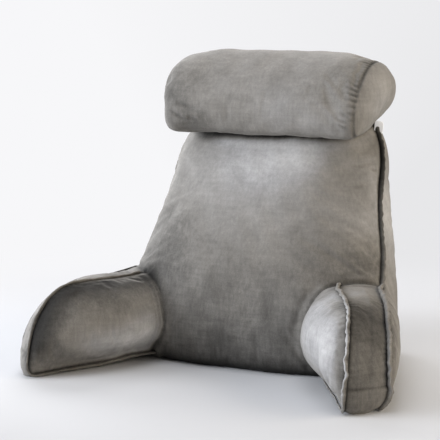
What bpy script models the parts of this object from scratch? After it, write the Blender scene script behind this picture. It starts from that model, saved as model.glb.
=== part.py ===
"""Reading pillow with arms, in velvet: a leaning backrest, two arms and a neck roll.

Metres, +Z up. X runs across the pillow, the sitter faces -Y, and the origin is on the
floor at the centre of the backrest's base. Each cushion is one filled solid. Two of its
faces are crowned panels and a band joins them, so its seams are the two panel outlines,
and a flat flange of the same cloth stands along each seam that has one.
"""

import math

import bmesh
import bpy
from mathutils import Vector

NAME = "reading_pillow"

# ---- Clearances ----
SEAT_GAP = 0.0005  # a neighbour's copy grows this much before it cuts a seat
FLANGE_SEAT_GAP = 0.0015  # the same for the flange that the roll presses down on

# ---- Filling ----
PLUMPNESS = 2.4  # exponent of a crown: 2 is an ellipse, more is fuller towards the seams
ROUND_FOOT = 0.5  # a crown's rise from its foot seam: 0.5 is round and full,
LEVEL_FOOT = 1.0  # and more slopes in towards the floor
SLOPING_FOOT = 1.8

# ---- Backrest ----
# The panels are trapezoids with round top corners. "Lean" is the rearward run for each
# metre of height, and the half widths are those of the trapezoid at the floor and the top.
FRONT_FOOT_Y = -0.142
FRONT_LEAN = 0.53
FRONT_HEIGHT = 0.575
FRONT_HALF_BASE = 0.318
FRONT_HALF_TOP = 0.243
FRONT_CROWN = 0.113
REAR_FOOT_Y = 0.150
REAR_LEAN = 0.135
REAR_HEIGHT = 0.585
REAR_HALF_BASE = 0.255
REAR_HALF_TOP = 0.200
REAR_CROWN = 0.045
TOP_CORNER_RADIUS = 0.150
GUSSET_BULGE_LOW = 0.034
GUSSET_BULGE_TOP = 0.010
BACK_COLUMNS = 20
BACK_ROWS = 18

# ---- Arms, given for the one at +X ----
# Each panel stands on a line from the backrest (root) to the arm's front, and distances
# along that line are fractions of it. The outline's tail, behind the root, is cut away.
INNER_ROOT_FOOT = (0.198, -0.150)
INNER_ROOT_TOP = (0.242, -0.110)
INNER_FRONT_FOOT = (0.364, -0.425)
INNER_FRONT_TOP = (0.375, -0.414)
INNER_HEIGHT = 0.200
INNER_TAIL = 0.12
INNER_CORNER_RUN = 0.38
INNER_CROWN = 0.080
OUTER_ROOT = (0.295, -0.038)
OUTER_FRONT = (0.430, -0.348)
OUTER_HEIGHT = 0.190
OUTER_TAIL = 0.36
OUTER_CORNER_RUN = 0.60
OUTER_CROWN = 0.039
OUTER_TUCK = (-0.021, -0.021)  # shift of the outer seam at the foot, across the band
TUCK_RISE = 0.045
CORNER_RISE = 0.150  # height of the big round corner at the arm's top front
TOE_RUN = 0.05  # the small round corner at the arm's front foot
TOE_RISE = 0.030
ARM_SEAM_Z = 0.009  # the lower seams run this far above the floor
ARM_FOOT_LIFT = 0.008  # and rise this much more at the backrest
ARM_FOOT_LIFT_RUN = 0.6
ARM_BAND_BULGE = 0.008
ARM_FOOT_BULGE = 0.016  # the band's underside hangs this far below its seams
ARM_COLUMNS = 14
ARM_ROWS = 12
BAND_STEPS = 4

# ---- Neck roll ----
ROLL_HALF_LENGTH = 0.215  # to the seam of each end cap
ROLL_FRONT_Y = -0.039
ROLL_BOTTOM_Z = 0.511
ROLL_END_SCALE = 0.92
ROLL_END_POWER = 6  # how abruptly the roll narrows to its end seams
ROLL_CAP_CROWN = 0.050
ROLL_CAP_CENTRE = (0.150, 0.100)
ROLL_STATIONS = 8
ROLL_CAP_RINGS = (0.97, 0.88, 0.70, 0.42)
# Arcs of the D-shaped section, from its front bottom corner, clockwise seen from +X:
# (centre_y, centre_z, semi_axis_y, semi_axis_z, start_deg, end_deg, steps)
ROLL_SECTION = (
    (0.010, 0.030, 0.015, 0.030, -90, -180, 3),
    (0.155, 0.030, 0.160, 0.150, 180, 90, 10),
    (0.155, 0.105, 0.100, 0.075, 90, 0, 6),
    (0.020, 0.105, 0.235, 0.105, 0, -90, 9),
)

# ---- Seam flanges ----
# Section of a flange: (distance out from the seam, half thickness, share of the sway)
FLANGE_SECTION = (
    (0.0008, 0.0006, 0.0),
    (0.0035, 0.0020, 0.3),
    (0.0100, 0.0013, 1.0),
)
FLANGE_SWAY = 0.0014
FLANGE_SWAY_LENGTH = 0.095
FLANGE_FLOOR_CLEARANCE = 0.0008
BACK_FLANGE_START_Z = 0.13
INNER_FLANGE_END_Y = -0.08
OUTER_FLANGE_END_Y = -0.042

# ---- Ribbon tab in the right front side seam ----
TAB_Z = 0.504
TAB_WIDTH = 0.030
TAB_REACH = 0.027
TAB_THICKNESS = 0.0007
TAB_FOLD_RADIUS = 0.0011
TAB_ROOT = 0.0012
TAB_BEHIND_SEAM = 0.0058

# ---- Materials: (red, green, blue, roughness), linear colour ----
VELVET = (0.27, 0.265, 0.25, 0.85)
RIBBON = (0.85, 0.85, 0.84, 0.55)


# ---- Scene ----
def clear_scene():
    for scene_object in list(bpy.data.objects):
        bpy.data.objects.remove(scene_object, do_unlink=True)


def new_collection(name):
    collection = bpy.data.collections.new(name)
    bpy.context.scene.collection.children.link(collection)
    return collection


def make_material(name, finish):
    red, green, blue, roughness = finish
    material = bpy.data.materials.new(name)
    material.use_nodes = True
    surface = material.node_tree.nodes["Principled BSDF"]
    surface.inputs["Base Color"].default_value = (red, green, blue, 1.0)
    surface.inputs["Roughness"].default_value = roughness
    surface.inputs["Metallic"].default_value = 0.0
    return material


def make_object(name, vertices, faces, finish, collection):
    """Make one named object from a closed set of faces, in triangles that face out."""
    mesh = bpy.data.meshes.new(name)
    mesh.from_pydata([tuple(v) for v in vertices], [], faces)
    shape = bmesh.new()
    shape.from_mesh(mesh)
    bmesh.ops.recalc_face_normals(shape, faces=shape.faces)
    bmesh.ops.triangulate(shape, faces=shape.faces)
    shape.to_mesh(mesh)
    shape.free()
    mesh.materials.append(make_material(name, finish))
    made = bpy.data.objects.new(name, mesh)
    collection.objects.link(made)
    return made


def smooth(made, sharp_angle):
    made.data.shade_smooth()
    made.data.set_sharp_from_angle(angle=math.radians(sharp_angle))


# ---- Cutting seats ----
def make_cutter(source, gap, cutters):
    """Return a slightly grown copy of a piece, which cuts its seat in a neighbour."""
    cutter = bpy.data.objects.new(source.name + "_cutter", source.data)
    for modifier in source.modifiers:
        seat = cutter.modifiers.new(modifier.name, "BOOLEAN")
        seat.operation = modifier.operation
        seat.object = modifier.object
    grow = cutter.modifiers.new("grow", "DISPLACE")
    grow.direction = "NORMAL"
    grow.mid_level = 0.0
    grow.strength = gap
    cutter.hide_render = True
    cutter.display_type = "WIRE"
    cutters.objects.link(cutter)
    return cutter


def cut_seat(made, cutter):
    seat = made.modifiers.new("seat_on_" + cutter.name, "BOOLEAN")
    seat.operation = "DIFFERENCE"
    seat.object = cutter


# ---- Crowned panels ----
def cosine_steps(count):
    """Return count + 1 values from -1 to 1, closest together at both ends."""
    return [-math.cos(math.pi * i / count) for i in range(count + 1)]


def fullness(u, v, foot):
    """Return how full a stuffed panel is: 1 at its middle and 0 along its seams."""
    across = max(0.0, 1 - abs(u) ** PLUMPNESS)
    upward = max(0.0, 1 - abs(v) ** PLUMPNESS)
    return across**ROUND_FOOT * upward ** (foot if v < 0 else ROUND_FOOT)


def round_corner(depth, run, rise):
    """Return how far an elliptical corner steps back, depth into its rise."""
    return run * (1 - math.sqrt(max(0.0, 1 - (depth / rise) ** 2)))


def crowned_panel(place, outward, crown, foot, columns, rows):
    """Return rows of points on a panel whose seam surface is place(u, v)."""
    normal = Vector(outward).normalized()
    return [
        [
            place(u, v) + normal * crown * fullness(u, v, foot)
            for u in cosine_steps(columns)
        ]
        for v in cosine_steps(rows)
    ]


def outline_indices(columns, rows):
    """Return a panel's edge as point numbers: foot, right side, top, then left side."""
    wide = columns + 1
    foot = [i for i in range(columns)]
    right = [row * wide + columns for row in range(rows)]
    top = [rows * wide + i for i in range(columns, 0, -1)]
    left = [row * wide for row in range(rows, 0, -1)]
    return foot + right + top + left


def boxed_cushion(name, near, far, bulge, finish, collection):
    """Join two crowned panels with a band that swells by bulge(point, outward).

    Returns the object and the point numbers of its near and far seams.
    """
    rows = len(near) - 1
    columns = len(near[0]) - 1
    panel_size = (rows + 1) * (columns + 1)
    vertices = [point for row in near for point in row]
    vertices += [point for row in far for point in row]
    outline = outline_indices(columns, rows)
    near_seam = outline
    far_seam = [panel_size + i for i in outline]
    count = len(outline)

    loops = [near_seam]
    for step in range(1, BAND_STEPS):
        share = step / BAND_STEPS
        middle = [
            vertices[a].lerp(vertices[b], share) for a, b in zip(near_seam, far_seam)
        ]
        loops.append(list(range(len(vertices), len(vertices) + count)))
        for i, point in enumerate(middle):
            along = middle[(i + 1) % count] - middle[i - 1]
            across = vertices[far_seam[i]] - vertices[near_seam[i]]
            outward = across.cross(along).normalized()
            if outward.dot(point - sum(middle, Vector()) / count) < 0:
                outward.negate()
            swell = 4 * share * (1 - share) * bulge(point, outward)
            vertices.append(point + outward * swell)
    loops.append(far_seam)

    faces = []
    for first, flip in ((0, False), (panel_size, True)):
        for row in range(rows):
            for column in range(columns):
                corner = first + row * (columns + 1) + column
                quad = [corner, corner + 1, corner + columns + 2, corner + columns + 1]
                faces.append(quad[::-1] if flip else quad)
    for loop, following in zip(loops, loops[1:]):
        for i in range(count):
            j = (i + 1) % count
            faces.append([loop[j], loop[i], following[i], following[j]])

    for point in vertices:
        point.z = max(0.0, point.z)
    cushion = make_object(name, vertices, faces, finish, collection)
    smooth(cushion, 50)
    return cushion, near_seam, far_seam


# ---- Backrest ----
def trapezoid_half_width(z, half_base, half_top, height):
    """Return the half width at a height, with the round top corner taken off."""
    straight = half_base + (half_top - half_base) * z / height
    above = max(0.0, z - (height - TOP_CORNER_RADIUS))
    return straight - round_corner(above, TOP_CORNER_RADIUS, TOP_CORNER_RADIUS)


def leaning_panel(foot_y, lean, half_base, half_top, height):
    """Return the place(u, v) function of a backrest panel."""

    def place(u, v):
        z = height * (v + 1) / 2
        half_width = trapezoid_half_width(z, half_base, half_top, height)
        return Vector((u * half_width, foot_y + lean * z, z))

    return place


def gusset_bulge(point, outward):
    """Return the swell of the side and top band: fullest low down."""
    share = point.z / FRONT_HEIGHT
    return GUSSET_BULGE_LOW + (GUSSET_BULGE_TOP - GUSSET_BULGE_LOW) * share


def make_backrest(collection):
    front = crowned_panel(
        leaning_panel(
            FRONT_FOOT_Y, FRONT_LEAN, FRONT_HALF_BASE, FRONT_HALF_TOP, FRONT_HEIGHT
        ),
        (0, -1, FRONT_LEAN),
        FRONT_CROWN,
        ROUND_FOOT,
        BACK_COLUMNS,
        BACK_ROWS,
    )
    rear = crowned_panel(
        leaning_panel(
            REAR_FOOT_Y, REAR_LEAN, REAR_HALF_BASE, REAR_HALF_TOP, REAR_HEIGHT
        ),
        (0, 1, 0),
        REAR_CROWN,
        ROUND_FOOT,
        BACK_COLUMNS,
        BACK_ROWS,
    )
    return boxed_cushion("backrest", front, rear, gusset_bulge, VELVET, collection)


# ---- Arms ----
def arm_reach(z, foot_z, height, corner_run):
    """Return how far along its line an arm panel reaches at a height."""
    above = max(0.0, z - (height - CORNER_RISE))
    below = max(0.0, foot_z + TOE_RISE - z)
    return 1 - round_corner(above, corner_run, CORNER_RISE) - round_corner(
        below, TOE_RUN, TOE_RISE
    )


def between(foot, top, height):
    """Return a function of height that runs from the foot's (x, y) to the top's."""
    return lambda z: Vector(foot).lerp(Vector(top), z / height)


def arm_panel(side, facing, root, front, size, crown, foot, tuck):
    """Return one crowned arm panel as rows of points.

    facing is -1 for the inner panel and 1 for the outer one. root and front give the
    (x, y) of the ends of the panel's line for a height, size is (height, tail,
    corner_run), and tuck is the shift of the foot seam from that line.
    """
    height, tail, corner_run = size
    line = front(height) - root(height)

    def place(u, v):
        level = ARM_SEAM_Z + (height - ARM_SEAM_Z) * (v + 1) / 2
        reach = arm_reach(level, ARM_SEAM_Z, height, corner_run)
        along = -tail + (reach + tail) * (u + 1) / 2
        lift = ARM_FOOT_LIFT * max(0.0, 1 - max(0.0, along) / ARM_FOOT_LIFT_RUN) ** 2
        z = level + lift * (1 - v) / 2
        spot = root(z) + (front(z) - root(z)) * along
        spot += Vector(tuck) * max(0.0, 1 - z / TUCK_RISE) ** 2
        return Vector((side * spot.x, spot.y, z))

    outward = (-side * facing * line.y, facing * line.x, 0)
    return crowned_panel(place, outward, crown, foot, ARM_COLUMNS, ARM_ROWS)


def arm_band_bulge(point, outward):
    """Return the swell of an arm's band: most where it faces the floor."""
    downward = max(0.0, -outward.z)
    return ARM_BAND_BULGE + (ARM_FOOT_BULGE - ARM_BAND_BULGE) * downward


def make_arm(side, name, collection):
    inner = arm_panel(
        side,
        -1,
        between(INNER_ROOT_FOOT, INNER_ROOT_TOP, INNER_HEIGHT),
        between(INNER_FRONT_FOOT, INNER_FRONT_TOP, INNER_HEIGHT),
        (INNER_HEIGHT, INNER_TAIL, INNER_CORNER_RUN),
        INNER_CROWN,
        SLOPING_FOOT,
        (0.0, 0.0),
    )
    outer = arm_panel(
        side,
        1,
        between(OUTER_ROOT, OUTER_ROOT, OUTER_HEIGHT),
        between(OUTER_FRONT, OUTER_FRONT, OUTER_HEIGHT),
        (OUTER_HEIGHT, OUTER_TAIL, OUTER_CORNER_RUN),
        OUTER_CROWN,
        LEVEL_FOOT,
        OUTER_TUCK,
    )
    return boxed_cushion(name, inner, outer, arm_band_bulge, VELVET, collection)


# ---- Neck roll ----
def roll_section():
    """Return the roll's section as (y, z) distances from its front bottom corner."""
    points = []
    for centre_y, centre_z, semi_y, semi_z, start, end, steps in ROLL_SECTION:
        for step in range(steps):
            angle = math.radians(start + (end - start) * step / steps)
            points.append(
                (centre_y + semi_y * math.cos(angle), centre_z + semi_z * math.sin(angle))
            )
    return points


def make_roll(collection):
    section = roll_section()
    count = len(section)
    centre_y, centre_z = ROLL_CAP_CENTRE

    def ring(x, share):
        """Return the section at x, drawn in towards the cap's centre by share."""
        end_share = min(1.0, abs(x) / ROLL_HALF_LENGTH) ** ROLL_END_POWER
        scale = 1 - (1 - ROLL_END_SCALE) * end_share
        return [
            Vector(
                (
                    x,
                    ROLL_FRONT_Y + scale * (centre_y + share * (y - centre_y)),
                    ROLL_BOTTOM_Z + scale * (centre_z + share * (z - centre_z)),
                )
            )
            for y, z in section
        ]

    def cap_x(share):
        return ROLL_HALF_LENGTH + ROLL_CAP_CROWN * math.sqrt(1 - share**2)

    rings = [ring(-cap_x(share), share) for share in reversed(ROLL_CAP_RINGS)]
    rings += [ring(ROLL_HALF_LENGTH * u, 1.0) for u in cosine_steps(ROLL_STATIONS)]
    rings += [ring(cap_x(share), share) for share in ROLL_CAP_RINGS]

    vertices = [point for points in rings for point in points]
    faces = []
    for row in range(len(rings) - 1):
        for i in range(count):
            j = (i + 1) % count
            first, second = row * count, (row + 1) * count
            faces.append([first + j, first + i, second + i, second + j])
    for side, row in ((-1, 0), (1, len(rings) - 1)):
        pole = len(vertices)
        vertices.append(ring(side * cap_x(0.0), 0.0)[0])
        for i in range(count):
            j = (i + 1) % count
            triangle = [row * count + i, row * count + j, pole]
            faces.append(triangle if side < 0 else triangle[::-1])
    roll = make_object("neck_roll", vertices, faces, VELVET, collection)
    smooth(roll, 50)
    return roll


# ---- Seam flanges ----
def seam_frame(cushion, seam, i):
    """Return a seam point, the way out of the cushion there, and the way along."""
    points = cushion.data.vertices
    before = points[seam[max(0, i - 1)]].co
    after = points[seam[min(len(seam) - 1, i + 1)]].co
    spot = points[seam[i]]
    along = (after - before).normalized()
    out = spot.normal - along * spot.normal.dot(along)
    return spot.co.copy(), out.normalized(), along


def make_flange(name, cushion, seam, collection):
    """Make a flat, gently swaying flange that stands out along part of a seam."""
    vertices = []
    travelled = 0.0
    previous = None
    for i in range(len(seam)):
        spot, out, along = seam_frame(cushion, seam, i)
        if previous is not None:
            travelled += (spot - previous).length
        previous = spot
        sideways = along.cross(out)
        sway = FLANGE_SWAY * math.sin(math.tau * travelled / FLANGE_SWAY_LENGTH)
        rim = [
            spot + out * distance + sideways * (half_thickness + sway * share)
            for distance, half_thickness, share in FLANGE_SECTION
        ]
        rim += [
            spot + out * distance + sideways * (sway * share - half_thickness)
            for distance, half_thickness, share in reversed(FLANGE_SECTION)
        ]
        vertices += rim
    size = 2 * len(FLANGE_SECTION)
    faces = [list(range(size)), [len(vertices) - 1 - i for i in range(size)]]
    for row in range(len(seam) - 1):
        for i in range(size):
            j = (i + 1) % size
            first, second = row * size, (row + 1) * size
            faces.append([first + j, first + i, second + i, second + j])
    for point in vertices:
        point.z = max(FLANGE_FLOOR_CLEARANCE, point.z)
    flange = make_object(name, vertices, faces, VELVET, collection)
    smooth(flange, 40)
    return flange


def sides_and_top(cushion, seam, lowest):
    """Return the stretch of a backrest seam over the top, down to a height."""
    foot = BACK_COLUMNS
    open_seam = seam[foot:] + seam[:1]
    return [i for i in open_seam if cushion.data.vertices[i].co.z >= lowest]


def around_the_arm(arm, seam, root_y):
    """Return an arm's seam as an open run along foot, front and top, up to its root."""
    open_seam = seam[: 2 * ARM_COLUMNS + ARM_ROWS + 1]
    return [i for i in open_seam if arm.data.vertices[i].co.y <= root_y]


# ---- Ribbon tab ----
def make_tab(backrest, seam, collection):
    """Make the folded ribbon that is sewn in the right front side seam."""
    heights = [abs(backrest.data.vertices[i].co.z - TAB_Z) for i in seam]
    right = [i for i in range(len(seam)) if backrest.data.vertices[seam[i]].co.x > 0]
    nearest = min(right, key=lambda i: heights[i])
    spot, out, along = seam_frame(backrest, seam, nearest)
    if along.z < 0:
        along.negate()
    spot += along * (TAB_Z - spot.z) / along.z
    behind = out.cross(along)
    if behind.y < 0:
        behind.negate()

    fold_steps = 6
    profile = [(0.0, -TAB_FOLD_RADIUS)]
    for step in range(fold_steps + 1):
        angle = math.pi * (step / fold_steps - 0.5)
        profile.append(
            (
                TAB_REACH - TAB_FOLD_RADIUS + TAB_FOLD_RADIUS * math.cos(angle),
                TAB_FOLD_RADIUS * math.sin(angle),
            )
        )
    profile.append((0.0, TAB_FOLD_RADIUS))

    mesh = bpy.data.meshes.new("side_tab")
    vertices = []
    for end in (-0.5, 0.5):
        for reach, aside in profile:
            point = spot + out * (TAB_ROOT + reach) + along * (TAB_WIDTH * end)
            vertices.append(point + behind * (TAB_BEHIND_SEAM + aside))
    count = len(profile)
    faces = [[i, i + 1, count + i + 1, count + i] for i in range(count - 1)]
    mesh.from_pydata([tuple(v) for v in vertices], [], faces)
    mesh.materials.append(make_material("side_tab", RIBBON))
    tab = bpy.data.objects.new("side_tab", mesh)
    collection.objects.link(tab)
    thicken = tab.modifiers.new("thickness", "SOLIDIFY")
    thicken.thickness = TAB_THICKNESS
    thicken.offset = 0.0
    return tab


# ---- Assembly ----
def main():
    clear_scene()
    parts = new_collection(NAME)
    cutters = new_collection(NAME + "_cutters")

    backrest, front_seam, rear_seam = make_backrest(parts)
    back_cutter = make_cutter(backrest, SEAT_GAP, cutters)

    front_flange = make_flange(
        "back_front_flange",
        backrest,
        sides_and_top(backrest, front_seam, BACK_FLANGE_START_Z),
        parts,
    )
    make_flange(
        "back_rear_flange",
        backrest,
        sides_and_top(backrest, rear_seam, FLANGE_FLOOR_CLEARANCE),
        parts,
    )

    arm_flanges = []
    for side, name in ((-1, "left"), (1, "right")):
        arm, inner_seam, outer_seam = make_arm(side, "arm_" + name, parts)
        for where, seam, root_y in (
            ("inner", inner_seam, INNER_FLANGE_END_Y),
            ("outer", outer_seam, OUTER_FLANGE_END_Y),
        ):
            run = around_the_arm(arm, seam, root_y)
            flange = make_flange(f"arm_{name}_{where}_flange", arm, run, parts)
            cut_seat(flange, back_cutter)
            arm_flanges.append(flange)
        cut_seat(front_flange, make_cutter(arm, SEAT_GAP, cutters))
        cut_seat(arm, back_cutter)

    flange_cutter = make_cutter(front_flange, SEAT_GAP, cutters)
    for flange in arm_flanges:
        cut_seat(flange, flange_cutter)
    roll = make_roll(parts)
    cut_seat(roll, back_cutter)
    cut_seat(roll, make_cutter(front_flange, FLANGE_SEAT_GAP, cutters))
    make_tab(backrest, front_seam, parts)


main()
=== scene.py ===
"""Looks of a velvet reading pillow: a sewn body with two arms, a neck roll and its seams.

Metres, +Z up, the sitter faces -Y. The body's cover is one sewn piece over the backrest
and both arms. Its panels are stretched by the filling, held along their seams, and each
seam carries a flat flange of the same velvet.
"""

import math
from functools import partial

import bmesh
import bpy
import numpy as np
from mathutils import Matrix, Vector
from mathutils.bvhtree import BVHTree
from mathutils.kdtree import KDTree


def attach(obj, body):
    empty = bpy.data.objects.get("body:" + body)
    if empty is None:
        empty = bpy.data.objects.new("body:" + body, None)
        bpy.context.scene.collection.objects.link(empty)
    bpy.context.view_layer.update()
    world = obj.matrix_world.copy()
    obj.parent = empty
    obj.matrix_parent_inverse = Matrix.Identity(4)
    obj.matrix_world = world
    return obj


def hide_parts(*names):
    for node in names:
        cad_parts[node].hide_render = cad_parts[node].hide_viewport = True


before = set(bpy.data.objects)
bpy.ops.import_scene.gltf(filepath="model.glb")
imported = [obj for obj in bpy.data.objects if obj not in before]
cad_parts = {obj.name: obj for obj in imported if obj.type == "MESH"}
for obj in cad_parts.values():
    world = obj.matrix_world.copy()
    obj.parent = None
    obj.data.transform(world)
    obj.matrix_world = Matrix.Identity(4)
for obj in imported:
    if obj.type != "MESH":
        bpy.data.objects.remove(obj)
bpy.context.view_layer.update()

BODY = "root"
MM = 0.001
# Cushions more than this far apart take no notice of each other
FAR = 80 * MM

# ---- Backrest: half widths at the floor and at the top, lean per metre of height ----
PLUMPNESS = 2.4
FRONT_FOOT_Y, FRONT_LEAN, FRONT_HEIGHT = -0.142, 0.53, 0.575
FRONT_HALF_BASE, FRONT_HALF_TOP, FRONT_CROWN = 0.318, 0.243, 0.113
REAR_FOOT_Y, REAR_LEAN, REAR_HEIGHT = 0.150, 0.135, 0.585
REAR_HALF_BASE, REAR_HALF_TOP, REAR_CROWN = 0.255, 0.200, 0.045
TOP_CORNER_RADIUS = 0.150
GUSSET_BULGE_LOW, GUSSET_BULGE_TOP = 0.034, 0.010

# ---- Arms, given for the one at +X ----
INNER_ROOT_FOOT, INNER_ROOT_TOP = (0.198, -0.150), (0.242, -0.110)
INNER_FRONT_FOOT, INNER_FRONT_TOP = (0.364, -0.425), (0.375, -0.414)
INNER_HEIGHT, INNER_TAIL, INNER_CORNER_RUN, INNER_CROWN = 0.200, 0.12, 0.38, 0.080
OUTER_ROOT, OUTER_FRONT = (0.295, -0.038), (0.430, -0.348)
OUTER_HEIGHT, OUTER_TAIL, OUTER_CORNER_RUN, OUTER_CROWN = 0.190, 0.36, 0.60, 0.039
OUTER_TUCK, TUCK_RISE = (-0.021, -0.021), 0.045
CORNER_RISE, TOE_RUN, TOE_RISE = 0.150, 0.05, 0.030
ARM_SEAM_Z, ARM_FOOT_LIFT, ARM_FOOT_LIFT_RUN = 0.009, 0.008, 0.6
ARM_BAND_BULGE, ARM_FOOT_BULGE = 0.008, 0.016
INNER_SEAM_END_Y, OUTER_SEAM_END_Y = -0.108, -0.036
INNER_FOOT_FULLNESS, OUTER_FOOT_FULLNESS = 1.8, 1.0
# Where a seam runs straight across the front of each arm's band, and the way it faces there
ARM_CROSS_SEAM_Z, ARM_SLANT = 0.055, (0.72, 0.69)

# ---- Neck roll ----
ROLL_HALF_LENGTH, ROLL_FRONT_Y, ROLL_BOTTOM_Z = 0.215, -0.039, 0.511
ROLL_END_SCALE, ROLL_END_POWER, ROLL_CAP_CROWN = 0.92, 6, 0.050
ROLL_CAP_CENTRE, ROLL_CAP_SPREAD, ROLL_SEAM_RINGS = (0.150, 0.100), (0.09, 0.97), (4, -10)
# Arcs of the D-shaped section: (centre_y, centre_z, semi_y, semi_z, start_deg, end_deg)
ROLL_SECTION = (
    (0.010, 0.030, 0.015, 0.030, -90, -180),
    (0.155, 0.030, 0.160, 0.150, 180, 90),
    (0.155, 0.105, 0.100, 0.075, 90, 0),
    (0.020, 0.105, 0.235, 0.105, 0, -90),
)

# ---- Where the filling has settled or swelled ----
# In millimetres: (x, y, z, radius, (how far it moves))
BODY_SETTLED = (
    (262, 85, 430, 90, (-11, 0, 0)),
    (275, 20, 345, 80, (-9, 0, 0)),
    (285, 55, 180, 100, (14, 0, 0)),
    (-285, 55, 180, 90, (-8, 0, 0)),
    (-245, -120, 190, 60, (-10, 0, -5)),
    (-290, -200, 205, 90, (0, 0, -9)),
    (-330, -120, 205, 80, (0, 0, -8)),
    (-370, -320, 180, 90, (0, 0, -8)),
    (-270, 30, 360, 100, (8, 0, 0)),
    (-215, -215, 0, 45, (0, 0, 7)),
    (-80, -150, 0, 95, (0, -20, 0)),
    (90, -150, 0, 95, (0, -20, 0)),
    (-395, -400, 10, 60, (-6, -20, -4)),
    (-185, -190, 20, 40, (10, -4, 0)),
    (235, -270, 195, 70, (-12, 0, 8)),
    (270, -340, 85, 60, (20, 7, 0)),
    (250, -150, 200, 70, (-16, 0, 0)),
)
ROLL_SETTLED = (
    (-20, 60, 690, 170, (0, 0, -6)),
    (-215, -10, 530, 50, (0, 0, -5)),
    (-235, -10, 615, 70, (-9, 0, 0)),
    (255, 95, 550, 50, (-9, 0, 4)),
)

# ---- Pressed folds, in millimetres: (start, end, half width, depth) ----
BODY_FOLDS = (
    ((185, 20, 447), (262, 78, 428), 4.2, 3.2),
    ((219, 45, 468), (256, 83, 455), 3.5, 2.2),
    ((228, 20, 425), (262, 63, 412), 3.5, 2),
    ((345, -405, 110), (356, -420, 45), 3.5, 2),
    ((348, -150, 196), (385, -160, 155), 5, 3),
    ((372, -205, 186), (405, -232, 140), 5, 3),
    ((395, -270, 165), (420, -285, 110), 4.5, 2.5),
)
ROLL_FOLDS = (
    ((-215, -45, 556), (-180, -45, 538), 5, 3),
    ((-198, -42, 576), (-150, -42, 560), 6, 2.4),
    ((-170, -45, 545), (-140, -45, 528), 4.5, 2.6),
    ((184, -40, 574), (215, -40, 560), 4, 3.4),
    ((190, -43, 558), (216, -43, 547), 3.5, 3.6),
    ((200, -44, 542), (216, -44, 534), 3, 3.2),
    ((196, -36, 596), (215, -36, 588), 3, 2.6),
    ((14, -30, 605), (10, -44, 552), 6, 1),
    ((120, -20, 622), (112, -42, 560), 6, 1.2),
)

# ---- Where a cover is held while it is filled: from wholly, there, to not at all ----
HELD_ALONG_SEAM, HELD_ALONG_JOIN = (4 * MM, 24 * MM), (6 * MM, 26 * MM)
HELD_ON_FLOOR, HELD_ALONG_ROLL_SEAM = (1 * MM, 8 * MM), (3 * MM, 14 * MM)
ROLL_BED_GAP, FLOOR_SNAP = 4 * MM, 1.5 * MM
# The cloth outside each arm, and how many times each cover is evened out
BEHIND_ARM_Y, OUTSIDE_REACH, OUTSIDE_SEAM = (-0.050, -0.015), (0.030, 0.110), (4 * MM, 30 * MM)
OUTSIDE_ROUNDS, BODY_ROUNDS, ROLL_ROUNDS = 260, 4, 6
START_INSET, INSET_RUN = 5 * MM, 60 * MM

# ---- How the filled covers are dressed ----
# A fold's groove and the low rise beside it: (share of its depth, share of its half width),
# and how deep it is at its end and how far into its swell it starts
FOLD_GROOVE, FOLD_RISE, FOLD_END, FOLD_START = (1.5, 1), (0.5, 2.2), 0.35, 0.12
# Lumps of the filling: (height, size, seed)
BODY_LUMPS = ((1.3 * MM, 0.085, 11), (0.5 * MM, 0.030, 12))
ROLL_LUMPS = ((1.6 * MM, 0.070, 31), (0.6 * MM, 0.026, 32))
# Puckers square to the seams: (spacing, depth, reach, seed)
BODY_PUCKERS, ROLL_PUCKERS = (13 * MM, 1.3 * MM, 12 * MM, 21), (11 * MM, 6 * MM, 10 * MM, 41)
# Puckers lean, wander, and differ in strength and length: (how much, over what size)
PUCKER_LEAN, PUCKER_WANDER = (0.5, 60 * MM), (0.55, 35 * MM)
PUCKER_STRENGTHS, PUCKER_LENGTHS = (0.55, 45 * MM), (0.45, 30 * MM)
PUCKER_MEAN, PUCKER_LIMITS, PUCKER_CREST, PUCKER_SHORTEST = 0.45, (0.05, 1.3), 1.6, 0.3
ROLL_TUBE_END, ROLL_CAP_PUCKERS = (0.226, 0.232), 0.2
# Grooves and ridges: (depth or height, reach)
JOIN_GROOVE, ROLL_SEAM_GROOVE = (7 * MM, 5.5 * MM), (2.5 * MM, 3.2 * MM)
CROSS_GROOVE, CROSS_RIDGE, CROSS_RIDGE_DROP = (1.6 * MM, 3 * MM), (1.2 * MM, 5 * MM), 7 * MM
CROSS_FACING, CROSS_FRONT = (0.55, 0.85), (0.330, 0.350)
# The left arm's inner panel is gathered into upright folds beside the back
GATHER_SPACING, GATHER_DEPTH, GATHER_REACH = 0.0085, 0.0024, 0.018
GATHER_WANDER = ((0.3, 0.060, 14),)
GATHER_FACING, GATHER_X, GATHER_Z = (0.2, 0.6), (0.12, 0.16), (0.05, 0.11)
INNER_SIDE_Y, ABOVE_FLOOR = (-0.075, -0.045), (2 * MM, 14 * MM)
FOOT_DRAWN, FOOT_HEIGHT = 7 * MM, 16 * MM
# How far the roll is pressed up off the body, and off the flanges under it
ROLL_LIFT, FLANGE_LIFT, FLANGE_LIFT_RUN = 1.5 * MM, 5 * MM, (8 * MM, 18 * MM)
PRESSED_REACH = 0.05

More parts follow.
